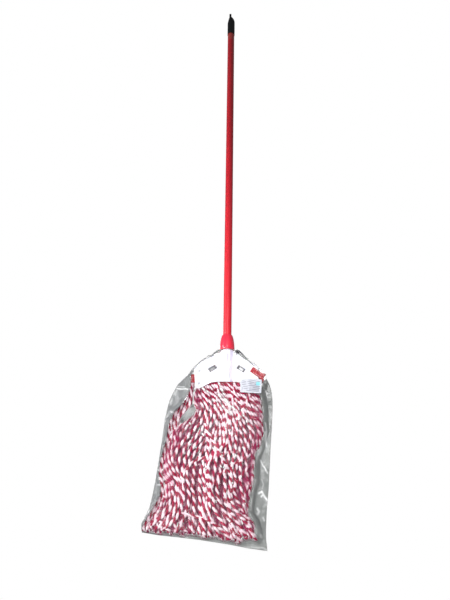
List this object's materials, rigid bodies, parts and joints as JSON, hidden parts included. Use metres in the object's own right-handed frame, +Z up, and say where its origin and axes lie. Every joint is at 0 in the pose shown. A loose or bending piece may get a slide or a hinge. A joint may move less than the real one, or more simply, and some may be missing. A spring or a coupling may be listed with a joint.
{
  "type": "string mop",
  "caption": "Floor mop with a slim coated tube handle, a hanging cap, a cone-shaped collar nut and a fan-shaped clamp holder over a bagged two-colour yarn skirt.",
  "frame": {"origin": "centre of the hanging hole in the end cap's tab", "axes": "+Z up along the handle towards the cap, -Y towards the front of the holder, +X to the right seen from the front"},
  "size_m": [0.3065, 0.048, 1.748],
  "materials": {
    "tube_steel": "mill",
    "red_coating": "gloss",
    "black_cap": "satin",
    "plug_plastic": "matte",
    "red_plastic": "gloss",
    "ring_plastic": "satin",
    "white_plastic": "satin",
    "galvanised": "galvanised",
    "screw_steel": "zinc plated",
    "red_tape": "woven",
    "thread": "twisted thread",
    "yarn": "two-ply crimson and white",
    "clear_film": "clear film",
    "tie_plastic": "satin",
    "label": "blank sticker"
  },
  "bodies": {
    "handle": {"steel_tube": "tube_steel", "tube_coating": "red_coating", "end_cap": "black_cap", "tube_end_plug": "plug_plastic"},
    "head": {"socket_stem": "white_plastic", "front_shell": "white_plastic", "rear_shell": "white_plastic", "clamp_plate": "galvanised", "shell_screws": "screw_steel", "headband": "red_tape", "headband_stitching": "thread", "yarn_core": "yarn", "neck_tie": "tie_plastic", "bag_label": "label"},
    "grip": {"grip_ring": "ring_plastic"},
    "collar": {"collar_nut": "red_plastic"},
    "skirt": {"yarn_front": "yarn", "yarn_rear": "yarn", "yarn_stray_lock": "yarn", "poly_bag": "clear_film"}
  },
  "joints": [
    {"name": "head_pull_off", "type": "slide", "parent": "handle", "child": "head", "axis": [0, 0, -1], "range_m": [0, 0.05]},
    {"name": "grip_travel", "type": "slide", "parent": "head", "child": "grip", "axis": [0, 0, 1], "range_m": [0, 0.0046]},
    {"name": "collar_turn", "type": "hinge", "parent": "grip", "child": "collar", "pos_m": [0, 0, -1.227], "axis": [0, 0, 1], "range_deg": [0, 540]},
    {"name": "skirt_swing", "type": "hinge", "parent": "head", "child": "skirt", "pos_m": [0, 0, -1.373], "axis": [1, 0, 0], "range_deg": [-35, 35], "deforming": ["poly_bag"]}
  ],
  "couplings": [
    {"joint": "grip_travel", "follows": "collar_turn", "m_per_rad": 0.00047746}
  ]
}
